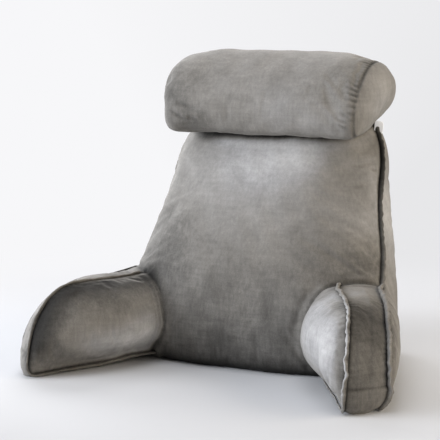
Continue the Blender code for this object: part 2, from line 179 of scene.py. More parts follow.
# ---- Painted shade on the pile: (how dark, reach) ----
BODY_SEAM_SHADE = ((0.25, 16 * MM), (1.70, 5.0 * MM))
ROLL_SEAM_SHADE = ((0.20, 12 * MM), (1.2, 3.2 * MM))
FLANGE_SEAM_SHADE = ((0.0, 1.0), (1.0, 4 * MM))
# Painted shade in the crease where each arm meets the back, in the cross seam's groove, and along
# the left arm's inner seam
JOIN_SHADE, CROSS_SHADE, LEFT_ARM_SHADE = (0.9, 5 * MM), (0.5, 3 * MM), (2.40, 48 * MM)
LEFT_ARM_FACING, LEFT_ARM_X, LEFT_ARM_Z = (0.10, 0.40), (0.1, 0.2), (0.01, 0.09)
ARM_PANEL_REACH = 16 * MM
# Painted shadow along the back's foot, darkest at the floor
BACK_FOOT_X, BACK_FOOT_HALF, BACK_FOOT_Y = 0.02, (0.190, 0.215), (-0.30, -0.22)
BACK_FOOT_SHADES = ((3.0, 8 * MM), (1.5, 32 * MM))
# Painted shade in puckers and gathers by how far they are drawn in, and per metre of a fold's
# depth
BODY_PUCKER_SHADE, ROLL_PUCKER_SHADE, GATHER_SHADE = 0.30, 1.7, 0.60
BODY_FOLD_SHADE, ROLL_FOLD_SHADE = 90, 110
# Painted contact shadow where the roll and the body close on each other
ROLL_CONTACT, BODY_CONTACT, UNDER_ROLL_Z = (1.8, 9 * MM), (4.0, 7.2 * MM), 0.40
# At the roll's left end the gap is wider, and its painted shadow as dark
LEFT_END_X, LEFT_END_WIDER = (0.10, 0.17), 0.8
# Just in front of the roll the body is painted paler, as painted light: (how much, gap, width)
PAINTED_LIGHT_BEFORE_ROLL = (0.20, 21 * MM, 10 * MM)

# ---- Ribbon tab in the right side seam ----
RIBBON_Z, RIBBON_SHIFT = 0.522, (0.004, -0.004, 0.0)
RIBBON_WIDTH, RIBBON_REACH, RIBBON_FOLD = 0.030, 0.020, 0.0011
RIBBON_THICKNESS, RIBBON_WAVE, RIBBON_SHORT, RIBBON_STEPS = 0.0005, 0.0012, 0.25, 10
RIBBON_UP, RIBBON_OUT = (0.05, 0.15, 1.0), (0.9, 0.4, -0.05)

# ---- Flanges ----
# (seam, lowest z, width, thickness, how crumpled, share of the width at the foot, and how
# the left and the right run are turned from straight out)
STRAIGHT = (0.0, 0.0, 0.0)
FLANGES = (
    ("back_front", 0.175, 0.0120, 0.0060, 0.9, 1.0, (0.60, 1.20, 0.0), (-0.30, 0.15, 0.0)),
    ("back_rear", 0.004, 0.0110, 0.0055, 0.8, 1.0, (1.50, 1.00, 0.0), (-1.50, 1.00, 0.0)),
    ("arm_left_inner", 0.0, 0.0075, 0.0042, 0.4, 1.0, STRAIGHT, STRAIGHT),
    ("arm_left_outer", 0.0, 0.0060, 0.0036, 0.3, 1.0, STRAIGHT, STRAIGHT),
    ("arm_right_inner", 0.0, 0.0110, 0.0080, 1.5, 0.35, STRAIGHT, (-0.60, -0.25, 0.0)),
    ("arm_right_outer", 0.0, 0.0130, 0.0085, 1.6, 0.8, STRAIGHT, STRAIGHT),
)
FLANGE_STEP, FLANGE_NEIGHBOURS, FLANGE_ROUNDS = 3 * MM, 60, 6
FLANGE_FOOT_RUN, FLANGE_FLOOR_GAP = (0.012, 0.045), 0.8 * MM
FLANGE_END, FLANGE_END_RUN, FLANGE_SEED_STEP = 0.10, 20 * MM, 7.3
# How far its root lies in the seam, how much it crumples in width, fullness and sideways,
# how late it bends, and where each of its noises starts
FLANGE_ROOT, RIM_CRUMPLE, PLUMP_CRUMPLE, KINK_CRUMPLE = 1.5 * MM, 0.18, 0.30, 1.1 * MM
FLANGE_BEND, SWAY_START, RIM_START, PLUMP_START, KINK_START = 1.3, 0.0, 40.0, 80.0, 120.0
LEFT_TO_RIGHT = (-0.12, 0.12)

# ---- Nap and painted light: velvet brushed paler or darker, with painted shade and highlights ----
# In millimetres (x, y, z, radius), then the way the cloth faces there and the strength,
# which is above 0 where the pile is paler or painted lighter
ANY_WAY = (0, 0, 0)
NAP_AND_SHADE_TURNED = (0.25, 0.75)
BODY_NAP_AND_SHADE = (
    (-14, -20, 447, 120, (0, -0.8, 0.6), 0.48),
    (85, -5, 475, 70, (0, -0.8, 0.6), 0.60),
    (-220, -70, 310, 70, (-0.2, -0.8, 0.5), -0.20),
    (-195, -110, 215, 75, (0, -1, 0.2), -0.75),
    (-121, -160, 122, 100, (0, -1, 0.1), -0.25),
    (43, -170, 90, 120, (0, -1, 0.1), -0.40),
    (235, -30, 340, 80, (0.3, -0.8, 0.3), 0.14),
    (264, 20, 370, 55, (0.1, -1, 0.4), -0.35),
    (268, -30, 250, 60, (0.1, -1, 0.4), -0.45),
    (200, -140, 210, 90, (0, -1, 0.2), -0.22),
    (280, 70, 320, 130, (1, 0.1, 0), 0.50),
    (-245, -310, 50, 80, (0.8, -0.5, 0), 0.76),
    (-200, -215, 50, 60, (0.8, -0.3, 0), 1.35),
    (-265, -290, 155, 80, (0.7, -0.4, 0.5), -0.65),
    (-375, -290, 165, 70, (-0.6, -0.4, 0.7), 0.15),
    (280, 70, 380, 70, (1, 0.1, 0), 0.22),
    (275, -310, 165, 120, (-0.8, -0.5, 0.3), 0.53),
    (335, -385, 130, 70, (-0.6, -0.7, 0.3), 0.50),
    (290, -220, 200, 60, (-0.5, -0.2, 0.8), 0.50),
    (310, -270, 185, 50, (-0.8, -0.5, 0.3), -0.10),
    (355, -280, 200, 80, (0.3, -0.3, 0.9), -0.75),
    (380, -340, 135, 110, (0.75, -0.6, 0.2), -0.70),
    (365, -400, 40, 50, (0.75, -0.6, 0), -0.12),
    (408, -330, 150, 60, (0.75, -0.6, 0.2), -0.30),
    (420, -290, 120, 100, (1, 0.1, 0), 0.48),
)
ROLL_NAP_AND_SHADE = (
    (-20, 60, 680, 200, (0, -0.2, 1), 0.06),
    (-190, 0, 650, 60, ANY_WAY, -0.18),
    (-225, -30, 600, 60, ANY_WAY, -0.36),
    (-160, -40, 535, 38, ANY_WAY, -0.55),
    (-50, -40, 520, 50, ANY_WAY, -0.15),
    (50, -40, 565, 50, ANY_WAY, 0.20),
    (140, -40, 550, 40, ANY_WAY, 0.16),
    (190, -10, 630, 60, ANY_WAY, -0.15),
    (257, 50, 594, 80, (1, 0, 0), 0.30),
)
FLANGE_NAP_AND_SHADE = (
    (262, 90, 450, 110, ANY_WAY, -1.20),
    (290, 0, 290, 90, ANY_WAY, -0.40),
    (350, -360, 120, 120, (-0.8, -0.6, 0), 0.75),
    (350, -360, 120, 120, (0.8, 0.3, 0), -0.90),
    (430, -330, 120, 120, (0.8, -0.3, 0), 0.30),
    (-300, -300, 160, 120, ANY_WAY, 0.30),
    (-430, -360, 70, 100, ANY_WAY, -0.90),
)

# ---- Studio ----
CAMERA_PLACE, CAMERA_TARGET = (1.55369, -3.50630, 0.94791), (-0.0391, -0.1523, 0.3317)
CAMERA_LENS, CAMERA_SENSOR = 139.09, 36
# The way along which the floor's paper is painted paler, as painted light where the pillow's
# shadow falls on the right
FLOOR_PALER_WAY = (0.90, 0.42, 0.0)
LIT_POINT, SKY_STRENGTH = (0, 0, 0.3), 0.12
# Lights: (name, azimuth, elevation, distance, size, power, colour)
LIGHTS = (
    ("window", -60, 12, 5.0, 2.8, 320, "#f3f7ff"),
    ("window_high", -42, 35, 4.5, 2.6, 60, "#f3f7ff"),
    ("window_behind", -115, 14, 4.5, 2.6, 150, "#f8faff"),
    ("behind", -150, 35, 4.5, 2.6, 150, "#fcfcff"),
    ("overhead", 0, 82, 4.0, 2.6, 70, "#fcfcff"),
    ("warm_front", 74, 12, 4.5, 2.6, 84, "#fff1dc"),
    ("warm_side", 110, 30, 4.5, 2.6, 95, "#fff2df"),
)

# ---- Cloth and filling ----
BODY_VOXEL, ROLL_VOXEL = 0.0065, 0.0055
FILL_FRAMES = 20
# How much longer the cloth is cut than its block, and how far the filling may press it out
BODY_FILL, ROLL_FILL = (0.015, 8 * MM), (0.012, 5 * MM)
CLOTH_SETTINGS = {
    "quality": 5, "mass": 0.3, "tension_stiffness": 15, "compression_stiffness": 15,
    "shear_stiffness": 5, "bending_stiffness": 0.5, "use_pressure": True,
    "uniform_pressure_force": 4.0,
}
BACK_COLUMNS, BACK_ROWS, BACK_BAND_STEPS = 72, 64, 16
ARM_COLUMNS, ARM_ROWS, ARM_BAND_STEPS = 56, 44, 12
ROLL_ROUND_STEPS, ROLL_ARC_STEPS, ROLL_CAP_RINGS, ROLL_TUBE_RINGS = 180, 60, 12, 60
# Seams as lines: their step, and more metres than one seam has, to tell their places apart
SEAM_STEP, SEAM_PLACES = 1.5 * MM, 3.0


# ---- Numbers along and across the cloth ----
def metres(millimetres):
    return np.array(millimetres) / 1000


def smoothstep(value, low, high):
    share = np.clip((value - low) / (high - low), 0.0, 1.0)
    return share * share * (3 - 2 * share)


def nearness(distance, reach):
    """Return 1 on the spot, falling smoothly to nothing at about twice the reach."""
    return np.exp(-((distance / reach) ** 2))


def mound(shape, distance):
    """Return a smooth mound of that (height, reach) at each distance from its middle."""
    height, reach = shape
    return height * nearness(distance, reach)


def lumps(points, size, seed, waves=10):
    """Return smooth uneven values from about -1 to 1, with bumps of that size."""
    rng = np.random.default_rng(seed)
    directions = rng.normal(size=(waves, 3))
    directions /= np.linalg.norm(directions, axis=1)[:, None]
    lengths = 2 * size * rng.uniform(0.7, 1.6, waves)
    turns = points @ (directions / lengths[:, None]).T + rng.uniform(0, 1, waves)
    return np.sin(math.tau * turns).sum(axis=1) / math.sqrt(waves)


def lumpy(points, sizes):
    """Return how far the lumps of those (height, size, seed) stand out."""
    return sum(height * lumps(points, size, seed) for height, size, seed in sizes)


def settled(points, moves):
    """Return the points where the filling has left them."""
    moved = np.array(points, float)
    for *place, radius, move in moves:
        distance = np.linalg.norm(points - metres(place), axis=-1)
        moved += nearness(distance, metres(radius))[..., None] * metres(move)
    return moved


def fold_depths(points, folds):
    """Return how deep the pressed folds are at each point."""
    depth = np.zeros(len(points))
    for start, end, half_width, deepest in folds:
        start, run = metres(start), metres(end) - metres(start)
        share = np.clip((points - start) @ run / (run @ run), 0, 1)
        away = np.linalg.norm(points - start - share[:, None] * run, axis=1)
        away /= metres(half_width)
        swell = np.sin(np.pi * (FOLD_START + (1 - FOLD_START) * share))
        taper = FOLD_END + (1 - FOLD_END) * swell
        # A groove with a low rise on both sides, where the cloth has gone
        groove = mound(FOLD_GROOVE, away) - mound(FOLD_RISE, away)
        depth += metres(deepest) * taper * groove
    return depth


def cosine_steps(count):
    return -np.cos(np.pi * np.arange(count + 1) / count)


def round_corner(depth, run, rise):
    return run * (1 - np.sqrt(np.clip(1 - (depth / rise) ** 2, 0, 1)))


def fullness(u, v, foot):
    """Return how full a stuffed panel is: 1 at its middle and 0 along its seams."""
    across = np.clip(1 - np.abs(u) ** PLUMPNESS, 0, 1)
    upward = np.clip(1 - np.abs(v) ** PLUMPNESS, 0, 1)
    return across**0.5 * upward ** np.where(v < 0, foot, 0.5)


# ---- Meshes ----
def new_piece(name, vertices, faces):
    mesh = bpy.data.meshes.new(name)
    mesh.from_pydata([tuple(v) for v in np.asarray(vertices)], [], faces)
    mesh.validate()
    piece = bpy.data.objects.new(name, mesh)
    bpy.context.scene.collection.objects.link(piece)
    return piece


def coordinates(mesh):
    values = np.empty(len(mesh.vertices) * 3, np.float32)
    mesh.vertices.foreach_get("co", values)
    return values.reshape(-1, 3).astype(float)


def normals(mesh):
    values = np.empty(len(mesh.vertices) * 3, np.float32)
    mesh.vertex_normals.foreach_get("vector", values)
    return values.reshape(-1, 3).astype(float)


def set_coordinates(mesh, points):
    mesh.vertices.foreach_set("co", np.asarray(points, np.float32).ravel())
    mesh.update()


def face_outwards(mesh):
    shape = bmesh.new()
    shape.from_mesh(mesh)
    bmesh.ops.recalc_face_normals(shape, faces=shape.faces)
    shape.to_mesh(mesh)
    shape.free()


def finish_modifiers(piece):
    """Make the piece's modifiers final in its mesh."""
    bpy.context.view_layer.update()
    depsgraph = bpy.context.evaluated_depsgraph_get()
    mesh = bpy.data.meshes.new_from_object(piece.evaluated_get(depsgraph))
    piece.modifiers.clear()
    old, piece.data = piece.data, mesh
    bpy.data.meshes.remove(old)
    mesh.name = piece.name


def even_cloth(piece, size):
    """Make the piece one closed cover in even squares of cloth."""
    remesh = piece.modifiers.new("even_cloth", "REMESH")
    remesh.mode = "VOXEL"
    remesh.voxel_size = size
    finish_modifiers(piece)


def finer_cloth(piece):
    smooth = piece.modifiers.new("finer_cloth", "SUBSURF")
    smooth.levels = smooth.render_levels = 1
    finish_modifiers(piece)


def relax(points, edges, weight, rounds):
    """Even out the points that have weight, each towards the mean of its neighbours."""
    count = len(points)
    ends = np.concatenate([edges[:, 0], edges[:, 1]])
    others = np.concatenate([edges[:, 1], edges[:, 0]])
    degree = np.bincount(ends, minlength=count)[:, None]
    for _ in range(rounds):
        total = np.stack(
            [np.bincount(ends, points[others, axis], count) for axis in range(3)], axis=1
        )
        points = points + weight[:, None] * 0.5 * (total / degree - points)
    return points


def mesh_edges(mesh):
    edges = np.empty(len(mesh.edges) * 2, np.int32)
    mesh.edges.foreach_get("vertices", edges)
    return edges.reshape(-1, 2)


# ---- Boxed cushions: two crowned panels and the band between them ----
def outline(grid):
    """Return a panel's edge: foot, right side, top, then left side."""
    return np.concatenate([grid[0, :-1], grid[:-1, -1], grid[-1, :0:-1], grid[:0:-1, 0]])


def boxed_cushion(name, near, far, bulge, band_steps):
    """Join two panels with a band. Returns the piece and its two seam loops."""
    rows, columns = near.shape[0] - 1, near.shape[1] - 1
    numbers = np.arange(near.shape[0] * near.shape[1]).reshape(near.shape[:2])
    loop = outline(numbers[:, :, None])[:, 0]
    size, count = numbers.size, len(loop)
    near_seam, far_seam = outline(near), outline(far)
    vertices = [near.reshape(-1, 3), far.reshape(-1, 3)]
    loops = [loop]
    for step in range(1, band_steps):
        share = step / band_steps
        middle = near_seam + (far_seam - near_seam) * share
        along = np.roll(middle, -1, axis=0) - np.roll(middle, 1, axis=0)
        outward = np.cross(far_seam - near_seam, along)
        outward /= np.maximum(np.linalg.norm(outward, axis=1), 1e-12)[:, None]
        inside = ((middle - middle.mean(axis=0)) * outward).sum(axis=1) < 0
        outward[inside] *= -1
        swell = 4 * share * (1 - share) * bulge(middle, outward)
        vertices.append(middle + outward * swell[:, None])
        loops.append(2 * size + (step - 1) * count + np.arange(count))
    loops.append(loop + size)
    faces = []
    for first, flip in ((0, False), (size, True)):
        for row in range(rows):
            for column in range(columns):
                corner = first + row * (columns + 1) + column
                quad = [corner, corner + 1, corner + columns + 2, corner + columns + 1]
                faces.append(quad[::-1] if flip else quad)
    for line, following in zip(loops, loops[1:]):
        for i in range(count):
            j = (i + 1) % count
            faces.append([int(n) for n in (line[j], line[i], following[i], following[j])])
    points = np.concatenate(vertices)
    points[:, 2] = np.maximum(points[:, 2], 0.0)
    piece = new_piece(name, points, faces)
    face_outwards(piece.data)
    return piece, near_seam, far_seam


def backrest_panel(foot_y, lean, half_base, half_top, height, outward, crown):
    u, v = np.meshgrid(cosine_steps(BACK_COLUMNS), cosine_steps(BACK_ROWS))
    z = height * (v + 1) / 2
    straight = half_base + (half_top - half_base) * z / height
    above = np.maximum(0.0, z - (height - TOP_CORNER_RADIUS))
    half = straight - round_corner(above, TOP_CORNER_RADIUS, TOP_CORNER_RADIUS)
    seam_surface = np.stack([u * half, foot_y + lean * z, z], axis=-1)
    outward = np.array(outward) / np.linalg.norm(outward)
    return seam_surface + outward * (crown * fullness(u, v, 0.5))[..., None]


def make_backrest():
    def bulge(points, outward):
        share = points[:, 2] / FRONT_HEIGHT
        return GUSSET_BULGE_LOW + (GUSSET_BULGE_TOP - GUSSET_BULGE_LOW) * share

    front = backrest_panel(
        FRONT_FOOT_Y, FRONT_LEAN, FRONT_HALF_BASE, FRONT_HALF_TOP, FRONT_HEIGHT,
        (0, -1, FRONT_LEAN), FRONT_CROWN,
    )
    rear = backrest_panel(
        REAR_FOOT_Y, REAR_LEAN, REAR_HALF_BASE, REAR_HALF_TOP, REAR_HEIGHT,
        (0, 1, 0), REAR_CROWN,
    )
    return boxed_cushion("backrest_block", front, rear, bulge, BACK_BAND_STEPS)


def arm_panel(side, facing, root, front, size, crown, foot, tuck):
    """Return one crowned arm panel. root and front are its ends' (x, y) at foot and top."""
    height, tail, corner_run = size
    u, v = np.meshgrid(cosine_steps(ARM_COLUMNS), cosine_steps(ARM_ROWS))

    def spot(ends, z):
        low, high = np.array(ends[0]), np.array(ends[1])
        return low + (high - low) * (z / height)[..., None]

    level = ARM_SEAM_Z + (height - ARM_SEAM_Z) * (v + 1) / 2
    above = np.maximum(0.0, level - (height - CORNER_RISE))
    below = np.maximum(0.0, ARM_SEAM_Z + TOE_RISE - level)
    reach = 1 - round_corner(above, corner_run, CORNER_RISE)
    reach = reach - round_corner(below, TOE_RUN, TOE_RISE)
    along = -tail + (reach + tail) * (u + 1) / 2
    lift = ARM_FOOT_LIFT * np.maximum(0, 1 - np.maximum(0, along) / ARM_FOOT_LIFT_RUN) ** 2
    z = level + lift * (1 - v) / 2
    flat = spot(root, z) + (spot(front, z) - spot(root, z)) * along[..., None]
    flat = flat + np.array(tuck) * (np.maximum(0.0, 1 - z / TUCK_RISE) ** 2)[..., None]
    line = np.array(front[1]) - np.array(root[1])
    outward = np.array((-side * facing * line[1], facing * line[0], 0.0))
    outward /= np.linalg.norm(outward)
    panel = np.stack([side * flat[..., 0], flat[..., 1], z], axis=-1)
    return panel + outward * (crown * fullness(u, v, foot))[..., None]


def make_arm(side, name):
    def bulge(points, outward):
        downward = np.maximum(0.0, -outward[:, 2])
        return ARM_BAND_BULGE + (ARM_FOOT_BULGE - ARM_BAND_BULGE) * downward

    inner = arm_panel(
        side, -1, (INNER_ROOT_FOOT, INNER_ROOT_TOP), (INNER_FRONT_FOOT, INNER_FRONT_TOP),
        (INNER_HEIGHT, INNER_TAIL, INNER_CORNER_RUN), INNER_CROWN, INNER_FOOT_FULLNESS,
        (0.0, 0.0),
    )
    outer = arm_panel(
        side, 1, (OUTER_ROOT, OUTER_ROOT), (OUTER_FRONT, OUTER_FRONT),
        (OUTER_HEIGHT, OUTER_TAIL, OUTER_CORNER_RUN), OUTER_CROWN, OUTER_FOOT_FULLNESS,
        OUTER_TUCK,
    )
    return boxed_cushion(name, inner, outer, bulge, ARM_BAND_STEPS)


# ---- Seams as lines ----
def even_line(points, step):
    """Return points spread evenly along a line, and how far along each one is."""
    lengths = np.linalg.norm(np.diff(points, axis=0), axis=1)
    travelled = np.concatenate([[0], np.cumsum(lengths)])
    count = max(2, int(round(travelled[-1] / step)))
    along = np.linspace(0, travelled[-1], count + 1)
    line = np.stack([np.interp(along, travelled, points[:, i]) for i in range(3)], axis=1)
    return line, along


def back_seam_run(seam, lowest):
    """Return a backrest seam over the top, from one side's foot to the other's."""
    run = np.concatenate([seam[BACK_COLUMNS:], seam[:1]])
    return run[run[:, 2] >= lowest]


def arm_seam_run(seam, last_y):
    """Return an arm seam along its foot, round its front and back over the top."""
    run = seam[: 2 * ARM_COLUMNS + ARM_ROWS + 1]
    return run[run[:, 1] <= last_y]


def point_tree(points):
    tree = KDTree(len(points))
    for i, point in enumerate(points):
        tree.insert(point, i)
    tree.balance()
    return tree


def nearest_on(lines, points):
    """Return each point's distance to the lines, and its place along the nearest one."""
    tree = point_tree(np.concatenate([line for line, _ in lines]))
    places = np.concatenate([along + SEAM_PLACES * i for i, (_, along) in enumerate(lines)])
    found = [tree.find(point)[1:] for point in points]
    index = np.array([i for i, _ in found])
    return np.array([distance for _, distance in found]), places[index]


# ---- Filling the covers ----
def fill_cover(piece, held, slack, cap):
    """Let the filling press a cover out where it isn't held along its seams."""
    group = piece.vertex_groups.new(name="held")
    for i in np.nonzero(held > 0.01)[0]:
        group.add([int(i)], float(held[i]), "REPLACE")
    before = coordinates(piece.data)
    cloth = piece.modifiers.new("filling", "CLOTH")
    settings = cloth.settings
    for name, value in CLOTH_SETTINGS.items():
        setattr(settings, name, value)
    settings.effector_weights.gravity = 0.0
    settings.vertex_group_mass = group.name
    settings.shrink_min = -slack
    cloth.collision_settings.use_collision = False
    cloth.point_cache.frame_start = 1
    cloth.point_cache.frame_end = FILL_FRAMES
    scene = bpy.context.scene
    for number in range(1, FILL_FRAMES + 1):
        scene.frame_set(number)
    finish_modifiers(piece)
    moved = coordinates(piece.data) - before
    size = np.linalg.norm(moved, axis=1)
    limit = cap * np.tanh(size / cap) / np.maximum(size, 1e-9)
    set_coordinates(piece.data, before + moved * limit[:, None])
    piece.vertex_groups.clear()
    scene.frame_set(1)


# ---- The body's cover ----
def make_blocks():
    """Return the backrest and arm blocks, and the seam lines that run over them."""
    backrest, front_seam, rear_seam = make_backrest()
    blocks = [backrest]
    seams = {
        "back_front": back_seam_run(front_seam, 0.0),
        "back_rear": back_seam_run(rear_seam, 0.0),
        "back_front_foot": front_seam[: BACK_COLUMNS + 1],
        "back_rear_foot": rear_seam[: BACK_COLUMNS + 1],
    }
    for side, name in ((-1, "arm_left"), (1, "arm_right")):
        arm, inner, outer = make_arm(side, name + "_block")
        blocks.append(arm)
        seams[name + "_inner"] = arm_seam_run(inner, INNER_SEAM_END_Y)
        seams[name + "_outer"] = arm_seam_run(outer, OUTER_SEAM_END_Y)
    for block in blocks:
        set_coordinates(block.data, settled(coordinates(block.data), BODY_SETTLED))
    return blocks, {
        name: even_line(settled(run, BODY_SETTLED), SEAM_STEP) for name, run in seams.items()
    }


def join_blocks(blocks):
    """Return one closed cover over the blocks, in even squares of cloth."""
    joined = bmesh.new()
    for block in blocks:
        joined.from_mesh(block.data)
    mesh = bpy.data.meshes.new("body_cover")
    joined.to_mesh(mesh)
    joined.free()
    body = bpy.data.objects.new("body_cover", mesh)
    bpy.context.scene.collection.objects.link(body)
    even_cloth(body, BODY_VOXEL)
    return body


def join_distances(trees, points):
    """Return how far each point is from its arm, and from where the arm meets the back."""
    to_back, to_left, to_right = (
        np.array([tree.find_nearest(point)[3] for point in points]) for tree in trees
    )
    to_arm = np.where(points[:, 0] < 0, to_left, to_right)
    return to_arm, np.maximum(to_back, to_arm)


def make_body_cover():
    blocks, seams = make_blocks()
    depsgraph = bpy.context.evaluated_depsgraph_get()
    trees = [BVHTree.FromObject(block, depsgraph) for block in blocks]
    body = join_blocks(blocks)
    for block in blocks:
        bpy.data.objects.remove(block, do_unlink=True)

    points = coordinates(body.data)
    edges = mesh_edges(body.data)
    _, join = join_distances(trees, points)
    behind = smoothstep(points[:, 1], *BEHIND_ARM_Y)
    to_seam, _ = nearest_on(list(seams.values()), points)
    held = 1 - smoothstep(to_seam, *HELD_ALONG_SEAM)
    crease = (1 - smoothstep(join, *HELD_ALONG_JOIN)) * (1 - behind)
    floor = 1 - smoothstep(points[:, 2], *HELD_ON_FLOOR)
    held = np.maximum(held, np.maximum(crease, floor))

    # The cloth outside each arm is one piece with the back's side, so no crease there
    outside = behind * (1 - smoothstep(join, *OUTSIDE_REACH)) * (1 - floor)
    outside = outside * smoothstep(to_seam, *OUTSIDE_SEAM)
    points = relax(points, edges, outside, OUTSIDE_ROUNDS)
    points = relax(points, edges, 1 - held, BODY_ROUNDS)
    set_coordinates(body.data, points)
    # The filling presses the cloth out again, so it starts a little inside its place
    inset = START_INSET * smoothstep(to_seam, 0.0, INSET_RUN) * (1 - floor) * (1 - crease)
    set_coordinates(body.data, points - normals(body.data) * inset[:, None])
    fill_cover(body, held, *BODY_FILL)

    points = coordinates(body.data)
    points[points[:, 2] < FLOOR_SNAP, 2] = 0.0
    set_coordinates(body.data, points)
    finer_cloth(body)
    return body, trees, seams


def seam_puckers(points, outward, lines, spacing, depth, reach, seed):
    """Draw the cloth in with uneven small folds that run square off the seams.

    Returns the points, and how strongly each one is drawn in.
    """
    distance, place = nearest_on(lines, points)
    near = distance < 5 * reach
    spot = np.stack([place, np.zeros_like(place), np.zeros_like(place)], axis=1)
    lean = lumpy(spot, [(*PUCKER_LEAN, seed + 1)])
    slid = spot + np.stack([lean * distance, 0 * place, 0 * place], axis=1)
    turn = slid[:, 0] / spacing + lumpy(slid, [(*PUCKER_WANDER, seed + 2)])
    fold = np.clip(np.sin(math.tau * turn) * 0.5 + 0.5, 0, 1) ** PUCKER_CREST
    strength = PUCKER_MEAN + lumpy(spot, [(*PUCKER_STRENGTHS, seed + 3)])
    length = reach * (1 + lumpy(spot, [(*PUCKER_LENGTHS, seed + 4)]))
    length = np.maximum(length, PUCKER_SHORTEST * reach)
    pull = near * fold * np.clip(strength, *PUCKER_LIMITS) * np.exp(-distance / length)
    return points - outward * (depth * pull)[:, None], pull


def paint_nap_and_shade(piece, marks, shade):
    """Store how pale the pile is brushed, with its painted shade and light, as a factor on the
    velvet's colour.
    """
    points, outward = coordinates(piece.data), normals(piece.data)
    for *place, radius, facing, strength in marks:
        distance = np.linalg.norm(points - metres(place), axis=1)
        mark = mound((strength, metres(radius)), distance)
        if any(facing):
            mark *= smoothstep(outward @ facing / np.linalg.norm(facing), *NAP_AND_SHADE_TURNED)
        shade = shade + mark
    values = piece.data.attributes.new("nap_and_painted_shade", "FLOAT", "POINT")
    values.data.foreach_set("value", np.exp(shade).astype(np.float32))


def seam_shade(points, lines, broad, line):
    """Return painted shade along the seams, broad and in a line."""
    distance, _ = nearest_on(lines, points)
    return -broad[0] * np.exp(-distance / broad[1]) - mound(line, distance)


def dress_body(body, trees, seams):
    """Give the filled body its creases, folds, puckers and gathers, and paint shade and light on
    its pile.
    """
    points, outward = coordinates(body.data), normals(body.data)
    to_arm, join = join_distances(trees, points)
    inner = 1 - smoothstep(points[:, 1], *INNER_SIDE_Y)
    points = points - outward * (mound(JOIN_GROOVE, join) * inner)[:, None]
    above_floor = smoothstep(points[:, 2], *ABOVE_FLOOR)[:, None]
    made = points + outward * lumpy(points, BODY_LUMPS)[:, None]
    lines = [seams[name] for name in seams if "foot" not in name]
    made, pull = seam_puckers(made, outward, lines, *BODY_PUCKERS)
    creased = fold_depths(points, BODY_FOLDS)

    # Upright gathers on the left arm's inner panel, beside the back
    gathered = smoothstep(outward[:, 0], *GATHER_FACING) * smoothstep(-points[:, 0], *GATHER_X)
    gathered *= inner * np.exp(-join / GATHER_REACH) * smoothstep(points[:, 2], *GATHER_Z)
    wave = np.sin(math.tau * (join / GATHER_SPACING + lumpy(points, GATHER_WANDER)))
    made += outward * (GATHER_DEPTH * gathered * wave - creased)[:, None]
    made = points + (made - points) * above_floor

    # The foot of the cover is drawn under, so that it meets the floor in a dark line
    under = FOOT_DRAWN * np.maximum(0.0, 1 - points[:, 2] / FOOT_HEIGHT) ** 2
    made[:, :2] -= outward[:, :2] * under[:, None]

    # A seam runs straight across the front of each arm's band
    across, forward = ARM_SLANT
    front = np.sign(made[:, 0]) * across * outward[:, 0] - forward * outward[:, 1]
    band = smoothstep(front, *CROSS_FACING) * smoothstep(-made[:, 1], *CROSS_FRONT)
    line = made[:, 2] - ARM_CROSS_SEAM_Z
    made -= outward * (band * mound(CROSS_GROOVE, line))[:, None]
    made += outward * (band * mound(CROSS_RIDGE, line + CROSS_RIDGE_DROP))[:, None]
    set_coordinates(body.data, made)

    # Painted shade along the seams and in the puckers' valleys
    shade = seam_shade(made, lines, *BODY_SEAM_SHADE) - BODY_PUCKER_SHADE * pull
    # Painted shadow along the back's foot, darkest at the floor
    foot = 1 - smoothstep(np.abs(made[:, 0] - BACK_FOOT_X), *BACK_FOOT_HALF)
    foot *= smoothstep(made[:, 1], *BACK_FOOT_Y) * (outward[:, 1] < 0)
    for dark, reach in BACK_FOOT_SHADES:
        shade -= foot * dark * np.exp(-made[:, 2] / reach)
    # Painted shade in the pressed folds and in the gathers' valleys
    shade -= BODY_FOLD_SHADE * creased + GATHER_SHADE * gathered * (1 - wave) / 2
    # Painted shade on the left arm's inner panel, along its seam
    left = smoothstep(across * outward[:, 0] - forward * outward[:, 1], *LEFT_ARM_FACING)
    left *= smoothstep(-made[:, 0], *LEFT_ARM_X) * nearness(to_arm, ARM_PANEL_REACH)
    left *= smoothstep(made[:, 2], *LEFT_ARM_Z)
    distance, _ = nearest_on(lines, made)
    shade -= left * mound(LEFT_ARM_SHADE, distance)
    # Painted shade in the cross seam's groove and in the crease where each arm meets the back
    shade -= band * mound(CROSS_SHADE, line)
    shade -= inner * mound(JOIN_SHADE, join)
    paint_nap_and_shade(body, BODY_NAP_AND_SHADE, shade)


# ---- Neck roll ----
def roll_section(steps):
    """Return the section's points from its front bottom corner, spread evenly."""
    arcs = []
    for centre_y, centre_z, semi_y, semi_z, start, end in ROLL_SECTION:
        angle = np.radians(np.linspace(start, end, ROLL_ARC_STEPS))
        arcs.append(
            np.stack([centre_y + semi_y * np.cos(angle), centre_z + semi_z * np.sin(angle)], 1)
        )
    closed = np.concatenate(arcs + [arcs[0][:1]])
    flat = np.concatenate([np.zeros((len(closed), 1)), closed], axis=1)
    line, _ = even_line(flat, np.linalg.norm(np.diff(flat, axis=0), axis=1).sum() / steps)
    return line[:-1, 1:]


def roll_ring(section, x, share):
    """Return the section at x, drawn in towards the cap's centre by share."""
    centre = np.array(ROLL_CAP_CENTRE)
    end = min(1.0, abs(x) / ROLL_HALF_LENGTH) ** ROLL_END_POWER
    scale = 1 - (1 - ROLL_END_SCALE) * end
    flat = scale * (centre + share * (section - centre))
    ring = np.empty((len(section), 3))
    ring[:, 0] = x
    ring[:, 1] = ROLL_FRONT_Y + flat[:, 0]
    ring[:, 2] = ROLL_BOTTOM_Z + flat[:, 1]
    return ring


